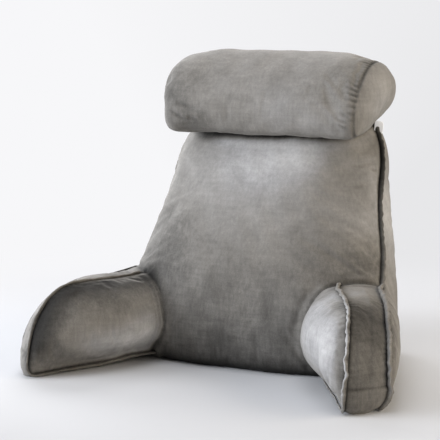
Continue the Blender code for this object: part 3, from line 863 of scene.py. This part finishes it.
def make_roll_cover(body):
    """Return the roll's cover, and the seam line round each of its end caps."""
    section = roll_section(ROLL_ROUND_STEPS)
    count = len(section)
    shares = np.sin(np.linspace(*ROLL_CAP_SPREAD, ROLL_CAP_RINGS) * np.pi / 2)

    def cap_x(share):
        return ROLL_HALF_LENGTH + ROLL_CAP_CROWN * math.sqrt(1 - share**2)

    rings = [roll_ring(section, -cap_x(share), share) for share in shares]
    tube = ROLL_HALF_LENGTH * cosine_steps(ROLL_TUBE_RINGS)
    rings += [roll_ring(section, x, 1.0) for x in tube]
    rings += [roll_ring(section, cap_x(share), share) for share in shares[::-1]]
    # The ends are stuffed full, so that their seams lie a little way round on them
    seams = [
        even_line(settled(np.concatenate([ring, ring[:1]]), ROLL_SETTLED), SEAM_STEP)
        for ring in (rings[ROLL_SEAM_RINGS[0]], rings[ROLL_SEAM_RINGS[1]])
    ]
    faces = []
    for row in range(len(rings) - 1):
        for i in range(count):
            j = (i + 1) % count
            first, second = row * count, (row + 1) * count
            faces.append((first + j, first + i, second + i, second + j))
    vertices = np.concatenate(rings)
    for row, x in ((0, -cap_x(0.0)), (len(rings) - 1, cap_x(0.0))):
        pole = len(vertices)
        vertices = np.concatenate([vertices, roll_ring(section, x, 0.0)[:1]])
        faces += [(row * count + i, row * count + (i + 1) % count, pole) for i in range(count)]
    roll = new_piece("neck_roll_cover", settled(vertices, ROLL_SETTLED), faces)
    face_outwards(roll.data)
    even_cloth(roll, ROLL_VOXEL)

    points = coordinates(roll.data)
    to_seam, _ = nearest_on(seams, points)
    inside = roll_bed(points, body) < ROLL_BED_GAP
    held = np.maximum(1 - smoothstep(to_seam, *HELD_ALONG_ROLL_SEAM), inside)
    points = relax(points, mesh_edges(roll.data), 1 - held, ROLL_ROUNDS)
    set_coordinates(roll.data, points)
    fill_cover(roll, held, *ROLL_FILL)
    finer_cloth(roll)
    return roll, seams


def roll_bed(points, body):
    """Return each point's height over the body's cover, negative inside it."""
    tree = BVHTree.FromObject(body, bpy.context.evaluated_depsgraph_get())
    heights = []
    for point in points:
        spot, normal, _, distance = tree.find_nearest(point)
        heights.append(math.copysign(distance, (Vector(point) - spot).dot(normal)))
    return np.array(heights)


def dress_roll(roll, roll_seams, body, seams):
    """Give the filled roll its gathered ends, folds and bed, and paint shade on its pile."""
    points, outward = coordinates(roll.data), normals(roll.data)
    points = points + outward * lumpy(points, ROLL_LUMPS)[:, None]
    # The tube is gathered into the end seams and the caps are nearly smooth
    tube = 1 - smoothstep(np.abs(points[:, 0]), *ROLL_TUBE_END)
    made, pull = seam_puckers(points, outward, roll_seams, *ROLL_PUCKERS)
    points += (made - points) * (ROLL_CAP_PUCKERS + (1 - ROLL_CAP_PUCKERS) * tube)[:, None]
    to_seam, _ = nearest_on(roll_seams, points)
    points -= outward * mound(ROLL_SEAM_GROOVE, to_seam)[:, None]
    creased = fold_depths(points, ROLL_FOLDS)
    points -= outward * creased[:, None]

    # Where it lies on the body and on the flange under it, the roll is pressed up
    tree = BVHTree.FromObject(body, bpy.context.evaluated_depsgraph_get())
    to_seam, _ = nearest_on([seams["back_front"], seams["back_rear"]], points)
    lift = ROLL_LIFT + FLANGE_LIFT * (1 - smoothstep(to_seam, *FLANGE_LIFT_RUN))
    gap = np.full(len(points), FAR)
    for i, point in enumerate(points):
        spot, normal, _, distance = tree.find_nearest(point, FAR)
        if spot is None:
            continue
        height = (Vector(point) - spot).dot(normal)
        if height < lift[i] and distance < PRESSED_REACH:
            points[i] = spot + normal * lift[i]
        gap[i] = min(distance, lift[i]) if height < lift[i] else distance
    set_coordinates(roll.data, points)

    # Painted shade along the end seams, in the folds and puckers, and painted contact shadow where
    # the roll lies on the body
    shade = seam_shade(points, roll_seams, *ROLL_SEAM_SHADE) - ROLL_FOLD_SHADE * creased
    shade -= mound(ROLL_CONTACT, gap)
    paint_nap_and_shade(roll, ROLL_NAP_AND_SHADE, shade - ROLL_PUCKER_SHADE * pull * tube)


def shade_under_roll(body, roll):
    """Paint shadow on the body where it goes in under the roll, with a painted paler band just in
    front.
    """
    tree = BVHTree.FromObject(roll, bpy.context.evaluated_depsgraph_get())
    points = coordinates(body.data)
    gap = np.full(len(points), FAR)
    for i in np.flatnonzero(points[:, 2] > UNDER_ROLL_Z):
        distance = tree.find_nearest(points[i], FAR / 2)[3]
        gap[i] = gap[i] if distance is None else distance
    nap_and_painted_shade = body.data.attributes["nap_and_painted_shade"].data
    values = np.empty(len(points), np.float32)
    nap_and_painted_shade.foreach_get("value", values)
    # A painted paler band in front of the roll, and painted contact shadow where the body goes in
    # under it
    left = smoothstep(-points[:, 0], *LEFT_END_X)
    paler, pale_gap, pale_width = PAINTED_LIGHT_BEFORE_ROLL
    shade = (1 - left) * mound((paler, pale_width), gap - pale_gap)
    dark, reach = BODY_CONTACT
    shade -= mound((dark, reach * (1 + LEFT_END_WIDER * left)), gap)
    nap_and_painted_shade.foreach_set("value", (values * np.exp(shade)).astype(np.float32))


# ---- Node trees ----
PATH_VALUES = ("root", "out", "side", "along", "reach", "across")
RANGE_INPUTS = ("Value", "From Min", "From Max", "To Min", "To Max")


def add_node(tree, kind, values=None, **settings):
    """Add a node, give it its settings, then set or link its inputs by name or number."""
    node = tree.nodes.new(kind)
    for name, value in settings.items():
        setattr(node, name, value)
    for name, value in (values or {}).items():
        if isinstance(value, bpy.types.Node):
            value = value.outputs[0]
        if isinstance(value, bpy.types.NodeSocket):
            tree.links.new(value, node.inputs[name])
        else:
            node.inputs[name].default_value = value
    return node


def new_geometry_tree(name, inputs):
    tree = bpy.data.node_groups.new(name, "GeometryNodeTree")
    tree.interface.new_socket("Geometry", in_out="OUTPUT", socket_type="NodeSocketGeometry")
    for label, kind, value in inputs:
        socket = tree.interface.new_socket(label, in_out="INPUT", socket_type=kind)
        if value is not None:
            socket.default_value = value
    return tree, add_node(tree, "NodeGroupInput"), add_node(tree, "NodeGroupOutput")


def apply_tree(piece, tree, values):
    """Run a tree on the piece with these inputs, and keep the plain mesh it makes."""
    modifier = piece.modifiers.new(tree.name, "NODES")
    modifier.node_group = tree
    for item in tree.interface.items_tree:
        if item.in_out == "INPUT" and item.name in values:
            modifier[item.identifier] = values[item.name]
    finish_modifiers(piece)
    for attribute in list(piece.data.attributes):
        if attribute.name in PATH_VALUES:
            piece.data.attributes.remove(attribute)


def flange_tree():
    """Fold a double layer of cloth along a path: thin at its stitched root, full at its rim."""
    tree, given, result = new_geometry_tree(
        "seam_flange",
        (
            ("Path", "NodeSocketGeometry", None),
            ("Width", "NodeSocketFloat", 0.0130),
            ("Thickness", "NodeSocketFloat", 0.0066),
            ("Sway", "NodeSocketFloat", 0.0045),
            ("Sway length", "NodeSocketFloat", 0.060),
            ("Crumple", "NodeSocketFloat", 1.0),
            ("Crumple length", "NodeSocketFloat", 0.014),
            ("Seed", "NodeSocketFloat", 0.0),
            ("Cloth", "NodeSocketMaterial", None),
        ),
    )
    node = partial(add_node, tree)
    values = {socket.name: socket for socket in given.outputs}

    # The flange's section is a circle, which knows how far out and across each point is
    circle = node("GeometryNodeCurvePrimitiveCircle", {"Resolution": 14, "Radius": 1.0})
    place = node("ShaderNodeSeparateXYZ", {0: node("GeometryNodeInputPosition")})
    reach = node(
        "ShaderNodeMath", {0: place.outputs["X"], 1: 0.5, 2: 0.5}, operation="MULTIPLY_ADD"
    )
    section = circle.outputs["Curve"]
    for name, value in (("reach", reach), ("across", place.outputs["Y"])):
        section = node(
            "GeometryNodeStoreNamedAttribute",
            {"Geometry": section, "Name": name, "Value": value},
            data_type="FLOAT", domain="POINT",
        )
    curve = node("GeometryNodeMeshToCurve", {"Mesh": values["Path"]})
    strip = node(
        "GeometryNodeCurveToMesh", {"Curve": curve, "Profile Curve": section, "Fill Caps": True}
    )
    for name in PATH_VALUES:
        kind = "FLOAT_VECTOR" if name in ("root", "out", "side") else "FLOAT"
        known = node("GeometryNodeInputNamedAttribute", {"Name": name}, data_type=kind)
        values[name] = known.outputs["Attribute"]

    def waves(length, start):
        """Return noise from about -1 to 1 along the path, with waves of that length."""
        steps = node("ShaderNodeMath", {0: values["along"], 1: values[length]}, operation="DIVIDE")
        start = node("ShaderNodeMath", {0: values["Seed"], 1: start}, operation="ADD")
        place = node("ShaderNodeMath", {0: steps, 1: start}, operation="ADD")
        noise = node(
            "ShaderNodeTexNoise", {"W": place, "Scale": 1.0, "Detail": 1.0},
            noise_dimensions="1D",
        )
        return node("ShaderNodeMath", {0: noise, 1: 3.0, 2: -1.5}, operation="MULTIPLY_ADD")

    # Each line names a value, and gives the sum and the terms that make it
    for name, operation, *terms in (
        ("rim", "MULTIPLY", "Crumple", RIM_CRUMPLE),
        ("rim", "MULTIPLY_ADD", waves("Crumple length", RIM_START), "rim", 1.0),
        ("outward", "MULTIPLY", "reach", "Width"),
        ("outward", "MULTIPLY", "outward", "rim"),
        ("outward", "SUBTRACT", "outward", FLANGE_ROOT),
        ("full", "MULTIPLY_ADD", "reach", 0.75, 0.5),
        ("plump", "MULTIPLY", "Crumple", PLUMP_CRUMPLE),
        ("plump", "MULTIPLY_ADD", waves("Crumple length", PLUMP_START), "plump", 1.0),
        ("plump", "MULTIPLY", "full", "plump"),
        ("plump", "MULTIPLY", "Thickness", "plump"),
        ("aside", "MULTIPLY", "across", "plump"),
        ("aside", "MULTIPLY", "aside", 0.5),
        ("bend", "POWER", "reach", FLANGE_BEND),
        ("sway", "MULTIPLY", waves("Sway length", SWAY_START), "Sway"),
        ("kink", "MULTIPLY", "Crumple", KINK_CRUMPLE),
        ("kink", "MULTIPLY_ADD", waves("Crumple length", KINK_START), "kink", 0.0),
        ("kink", "ADD", "sway", "kink"),
        ("aside", "MULTIPLY_ADD", "kink", "bend", "aside"),
    ):
        terms = [values[term] if isinstance(term, str) else term for term in terms]
        values[name] = node("ShaderNodeMath", dict(enumerate(terms)), operation=operation)
    strides = [
        node("ShaderNodeVectorMath", {0: values[way], "Scale": values[far]}, operation="SCALE")
        for way, far in (("out", "outward"), ("side", "aside"))
    ]
    spot = node("ShaderNodeVectorMath", dict(enumerate(strides)), operation="ADD")
    spot = node("ShaderNodeVectorMath", {0: spot, 1: values["root"]}, operation="ADD")
    shape = node("GeometryNodeSetPosition", {"Geometry": strip, "Position": spot})
    shape = node("GeometryNodeSetShadeSmooth", {"Geometry": shape})
    shape = node("GeometryNodeRealizeInstances", {"Geometry": shape})
    shape = node("GeometryNodeSetMaterial", {"Geometry": shape, "Material": values["Cloth"]})
    tree.links.new(shape.outputs[0], result.inputs[0])
    return tree


# ---- Flanges ----
def spread_out(cover, line, left_turn, right_turn):
    """Return the way a flange stands along a seam, out of the cover and turned."""
    tree, outward = cover
    out = np.array([
        outward[[i for _, i, _ in tree.find_n(point, FLANGE_NEIGHBOURS)]].mean(axis=0)
        for point in line
    ])
    right = smoothstep(line[:, 0], *LEFT_TO_RIGHT)[:, None]
    turn = np.array(left_turn) * (1 - right) + np.array(right_turn) * right
    out = out / np.linalg.norm(out, axis=1)[:, None] + turn
    for _ in range(FLANGE_ROUNDS):
        out[1:-1] = (out[:-2] + 2 * out[1:-1] + out[2:]) / 4
    along = np.gradient(line, axis=0)
    along /= np.linalg.norm(along, axis=1)[:, None]
    out -= along * (out * along).sum(axis=1)[:, None]
    out /= np.linalg.norm(out, axis=1)[:, None]
    return out, np.cross(along, out)


def make_flange(name, cover, run, foot, turns, tree, inputs):
    """Return a flange that stands along the run, narrower at its foot and at both ends."""
    line, along = even_line(run, FLANGE_STEP)
    out, side = spread_out(cover, line, *turns)
    out *= (foot + (1 - foot) * smoothstep(line[:, 2], *FLANGE_FOOT_RUN))[:, None]
    from_end = np.minimum(along, along[-1] - along)
    out *= (FLANGE_END + (1 - FLANGE_END) * smoothstep(from_end, 0.0, FLANGE_END_RUN))[:, None]
    mesh = bpy.data.meshes.new(name)
    mesh.from_pydata([tuple(p) for p in line], [(i, i + 1) for i in range(len(line) - 1)], [])
    for label, data in (("root", line), ("out", out), ("side", side)):
        values = mesh.attributes.new(label, "FLOAT_VECTOR", "POINT")
        values.data.foreach_set("vector", np.asarray(data, np.float32).ravel())
    values = mesh.attributes.new("along", "FLOAT", "POINT")
    values.data.foreach_set("value", np.asarray(along, np.float32))
    flange = bpy.data.objects.new(name, mesh)
    bpy.context.scene.collection.objects.link(flange)
    apply_tree(flange, tree, inputs)
    points = coordinates(flange.data)
    points[:, 2] = np.maximum(points[:, 2], FLANGE_FLOOR_GAP)
    set_coordinates(flange.data, points)
    # Painted shade along the flange's stitched root, and painted shade and highlights from the
    # marks
    paint_nap_and_shade(flange, FLANGE_NAP_AND_SHADE, seam_shade(points, [(line, along)], *FLANGE_SEAM_SHADE))
    return flange


# ---- Ribbon tab ----
def make_ribbon(seam):
    """Return a short loop of blank ribbon, folded flat and sewn in the right side seam."""
    line, _ = seam
    right = line[line[:, 0] > 0]
    root = Vector(right[np.argmin(np.abs(right[:, 2] - RIBBON_Z))]) + Vector(RIBBON_SHIFT)
    up = Vector(RIBBON_UP).normalized()
    out = Vector(RIBBON_OUT)
    out = (out - up * out.dot(up)).normalized()
    through = out.cross(up)
    profile = [(0.0, -RIBBON_FOLD), (0.5 * RIBBON_REACH, -1.3 * RIBBON_FOLD)]
    for angle in np.radians(np.linspace(-90, 90, 9)):
        profile.append(
            (RIBBON_REACH + RIBBON_FOLD * (math.cos(angle) - 1), RIBBON_FOLD * math.sin(angle))
        )
    profile += [(0.5 * RIBBON_REACH, 1.3 * RIBBON_FOLD), (0.0, RIBBON_FOLD)]
    vertices = []
    for row in range(RIBBON_STEPS + 1):
        level = 2 * row / RIBBON_STEPS - 1
        short = 1 - RIBBON_SHORT * abs(level) ** 5
        wave = RIBBON_WAVE * math.sin(0.6 * math.pi * (level + 1))
        for reach, aside in profile:
            vertices.append(
                root + out * (reach * short) + up * (0.5 * RIBBON_WIDTH * level)
                + through * (aside + wave * reach / RIBBON_REACH)
            )
    count = len(profile)
    faces = [
        (row * count + i, row * count + i + 1, (row + 1) * count + i + 1, (row + 1) * count + i)
        for row in range(RIBBON_STEPS)
        for i in range(count - 1)
    ]
    ribbon = new_piece("side_ribbon", vertices, faces)
    thick = ribbon.modifiers.new("ribbon_thickness", "SOLIDIFY")
    thick.thickness = RIBBON_THICKNESS
    thick.offset = 0.0
    finish_modifiers(ribbon)
    return ribbon


# ---- Finishes ----
def linear(hex_colour):
    """Turn an sRGB hex colour into the linear values that shaders use."""
    values = [int(hex_colour[i : i + 2], 16) / 255 for i in (1, 3, 5)]
    levels = [c / 12.92 if c <= 0.04045 else ((c + 0.055) / 1.055) ** 2.4 for c in values]
    return (*levels, 1.0)


def new_finish(name, values):
    """Return a material, its tree and its shader, with what is the same all over it."""
    material = bpy.data.materials.new(name)
    material.use_nodes = True
    shader = material.node_tree.nodes["Principled BSDF"]
    for label, value in values.items():
        shader.inputs[label].default_value = value
    return material, material.node_tree, shader


def grey_polyester_velvet():
    """Short cut pile: soft pale sheen at the edges, darker and paler where it is brushed and where
    shade and light are painted on.
    """
    material, tree, shader = new_finish("grey_polyester_velvet", {
        "Roughness": 0.92, "Specular IOR Level": 0.15, "Sheen Weight": 0.1,
        "Sheen Roughness": 0.45, "Sheen Tint": linear("#e4e2de"),
    })
    node = partial(add_node, tree)
    place = node("ShaderNodeTexCoord").outputs["Object"]
    nap_and_painted_shade = node("ShaderNodeAttribute", attribute_name="nap_and_painted_shade").outputs["Fac"]

    def uneven(size_mm, detail, distortion=0.0, stretch=(1, 1, 1)):
        """Return a smooth uneven pattern, with patches of that real size."""
        scale = tuple(1000 / size_mm / longer for longer in stretch)
        spread = node("ShaderNodeMapping", {"Vector": place, "Scale": scale})
        return node(
            "ShaderNodeTexNoise",
            {"Vector": spread, "Scale": 1.0, "Detail": detail, "Distortion": distortion},
        )

    # Each line is a pattern, the lowest value it spreads from, and how strong it is: broad
    # strokes, patches in them, marks upright and level, and the pile, which is drawn 2.5 mm
    # coarse because the real pile, under 1 mm, is too fine to show
    tone = 1.0
    for pattern, lowest, strength in (
        (uneven(95, 3, 0.8), 0.30, 0.13),
        (uneven(32, 4, 0.9), 0.30, 0.07),
        (uneven(6, 2, stretch=(1, 1, 9)), 0.25, 0.09),
        (uneven(7, 2, stretch=(8, 8, 1)), 0.25, 0.06),
        (uneven(2.5, 3), 0.25, 0.10),
    ):
        span = (pattern, lowest, 1 - lowest, 1 - strength, 1 + strength)
        shade = node("ShaderNodeMapRange", dict(zip(RANGE_INPUTS, span)))
        tone = node("ShaderNodeMath", {0: tone, 1: shade}, operation="MULTIPLY")
    # Where the nap and painted shade are dark the patterns show more, and where they are pale the
    # colour is painted cooler, a painted reflection of the cool light
    contrast, cooler = (
        node("ShaderNodeMapRange", dict(zip(RANGE_INPUTS, span)))
        for span in ((nap_and_painted_shade, 0.5, 1.1, 1.9, 1.0), (nap_and_painted_shade, 0.95, 1.5, 0.0, 1.0))
    )
    tone = node("ShaderNodeMath", {0: tone, 1: contrast}, operation="POWER")
    # The brushed nap and the painted shade and light darken or lighten the colour
    tone = node("ShaderNodeMath", {0: tone, 1: nap_and_painted_shade}, operation="MULTIPLY")
    dye_and_painted_sheen = node(
        "ShaderNodeMix", {"Factor": cooler, 6: linear("#7b7873"), 7: linear("#7b7a79")},
        data_type="RGBA",
    )
    cloth = node("ShaderNodeVectorMath", {0: dye_and_painted_sheen.outputs[2], "Scale": tone}, operation="SCALE")
    tree.links.new(cloth.outputs[0], shader.inputs["Base Color"])
    fuzz = node(
        "ShaderNodeBump", {"Height": uneven(1.3, 3), "Strength": 0.25, "Distance": 0.6 * MM}
    )
    soft = node(
        "ShaderNodeBump",
        {"Height": uneven(14, 3, 0.6), "Strength": 0.35, "Distance": 1.2 * MM, "Normal": fuzz},
    )
    tree.links.new(soft.outputs[0], shader.inputs["Normal"])
    return material


def white_satin_ribbon():
    """Thin woven ribbon: nearly white, with a fine thread that shows as a slight grain."""
    material, tree, shader = new_finish("white_satin_ribbon", {"Roughness": 0.5})
    node = partial(add_node, tree)
    # Threads are drawn 0.8 mm long and 0.4 mm high, since the real 0.1 mm is too fine to show
    spread = node(
        "ShaderNodeMapping",
        {"Vector": node("ShaderNodeTexCoord").outputs["Object"], "Scale": (1250, 1250, 2500)},
    )
    weave = node("ShaderNodeTexNoise", {"Vector": spread, "Scale": 1.0, "Detail": 1.0})
    tone = node(
        "ShaderNodeMix", {"Factor": weave, 6: linear("#eaedf4"), 7: linear("#f7faff")},
        data_type="RGBA",
    )
    tree.links.new(tone.outputs[2], shader.inputs["Base Color"])
    bump = node("ShaderNodeBump", {"Height": weave, "Strength": 0.3, "Distance": 0.2 * MM})
    tree.links.new(bump.outputs[0], shader.inputs["Normal"])
    return material


# ---- Studio ----
def make_floor():
    """A pale floor that fades to a bright glowing backdrop, with painted light and shade: the
    paper paler to the right and darker behind, the glow darker except to the left and darker in
    front.
    """
    bpy.ops.mesh.primitive_circle_add(vertices=96, radius=60, fill_type="NGON")
    floor = bpy.context.object
    floor.name = "studio_floor"
    material, tree, shader = new_finish("pale_paper_floor", {"Roughness": 0.9})
    node = partial(add_node, tree)
    place = node("ShaderNodeTexCoord").outputs["Object"]
    away = node("ShaderNodeVectorMath", {0: place}, operation="LENGTH")
    fade = node(
        "ShaderNodeMapRange",
        {"Value": away.outputs["Value"], "From Min": 0.45, "From Max": 1.35},
        interpolation_type="SMOOTHSTEP",
    )
    right = node("ShaderNodeVectorMath", {0: place, 1: FLOOR_PALER_WAY}, operation="DOT_PRODUCT")
    spot = node("ShaderNodeSeparateXYZ", {0: place})
    way = node("ShaderNodeVectorMath", {0: place}, operation="NORMALIZE")
    way = node("ShaderNodeSeparateXYZ", {0: way})
    # The paper and the backdrop's glow each get painted light and shade from two ramps over the
    # floor
    paper, glow = 1.0, 1.0
    for value, *span in (
        (right.outputs["Value"], -0.2, 0.5, 0.88, 1.00),
        (spot.outputs["Y"], -0.1, 0.5, 1.0, 0.82),
    ):
        ramp = node("ShaderNodeMapRange", dict(zip(RANGE_INPUTS, (value, *span))))
        paper = node("ShaderNodeMath", {0: paper, 1: ramp}, operation="MULTIPLY")
    for value, *span in (
        (way.outputs["X"], -0.52, -0.22, 1.0, 0.86),
        (way.outputs["Y"], -0.97, -0.72, 0.84, 1.0),
    ):
        ramp = node("ShaderNodeMapRange", dict(zip(RANGE_INPUTS, (value, *span))))
        glow = node("ShaderNodeMath", {0: glow, 1: ramp}, operation="MULTIPLY")
    paper = node(
        "ShaderNodeVectorMath", {0: linear("#c7c8ca")[:3], "Scale": paper}, operation="SCALE"
    )
    tree.links.new(paper.outputs[0], shader.inputs["Base Color"])
    glow = node("ShaderNodeEmission", {"Color": linear("#f7f7f9"), "Strength": glow})
    both = node("ShaderNodeMixShader", {0: fade, 1: shader, 2: glow})
    tree.links.new(both.outputs[0], tree.nodes["Material Output"].inputs["Surface"])
    floor.data.materials.append(material)


def add_light(name, azimuth, elevation, distance, size, power, colour):
    """Add a soft panel of light that faces the pillow from that side of it."""
    turn, rise = math.radians(azimuth), math.radians(elevation)
    away = Vector(
        (math.sin(turn) * math.cos(rise), -math.cos(turn) * math.cos(rise), math.sin(rise))
    )
    data = bpy.data.lights.new(name, "AREA")
    data.size = size
    data.energy = power
    data.color = linear(colour)[:3]
    light = bpy.data.objects.new(name, data)
    light.location = Vector(LIT_POINT) + away * distance
    light.rotation_euler = (-away).to_track_quat("-Z", "Y").to_euler()
    bpy.context.scene.collection.objects.link(light)


def light_studio():
    world = bpy.data.worlds.new("studio")
    world.use_nodes = True
    background = world.node_tree.nodes["Background"]
    background.inputs["Color"].default_value = linear("#f6f7fa")
    background.inputs["Strength"].default_value = SKY_STRENGTH
    bpy.context.scene.world = world
    for light in LIGHTS:
        add_light(*light)


def place_camera():
    data = bpy.data.cameras.new("camera")
    data.lens = CAMERA_LENS
    data.sensor_width = CAMERA_SENSOR
    camera = bpy.data.objects.new("camera", data)
    camera.location = Vector(CAMERA_PLACE)
    ahead = Vector(CAMERA_TARGET) - camera.location
    camera.rotation_euler = ahead.to_track_quat("-Z", "Y").to_euler()
    bpy.context.scene.collection.objects.link(camera)
    bpy.context.scene.camera = camera


# ---- Assembly ----
def main():
    place_camera()
    velvet = grey_polyester_velvet()
    body, trees, seams = make_body_cover()
    dress_body(body, trees, seams)
    roll, roll_seams = make_roll_cover(body)
    dress_roll(roll, roll_seams, body, seams)
    shade_under_roll(body, roll)
    for cushion, nodes, fill in (
        (body, ("backrest", "arm_left", "arm_right"), 0.8),
        (roll, ("neck_roll",), 0.85),
    ):
        cushion.data.materials.clear()
        cushion.data.materials.append(velvet)
        cushion.data.shade_smooth()
        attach(cushion, BODY)
        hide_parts(*nodes)

    tree = flange_tree()
    cover = (point_tree(coordinates(body.data)), normals(body.data))
    for seed, (name, lowest, width, thickness, crumple, foot, *turns) in enumerate(FLANGES):
        run = seams[name][0]
        run = run[run[:, 2] >= lowest]
        inputs = {
            "Width": width, "Thickness": thickness, "Crumple": crumple,
            "Seed": FLANGE_SEED_STEP * seed, "Cloth": velvet,
        }
        flange = make_flange(name + "_edge", cover, run, foot, turns, tree, inputs)
        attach(flange, BODY)
        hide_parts(name + "_flange")

    ribbon = make_ribbon(seams["back_front"])
    ribbon.data.materials.append(white_satin_ribbon())
    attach(ribbon, BODY)
    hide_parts("side_tab")

    make_floor()
    light_studio()
    bpy.context.scene.view_settings.view_transform = "Standard"


main()
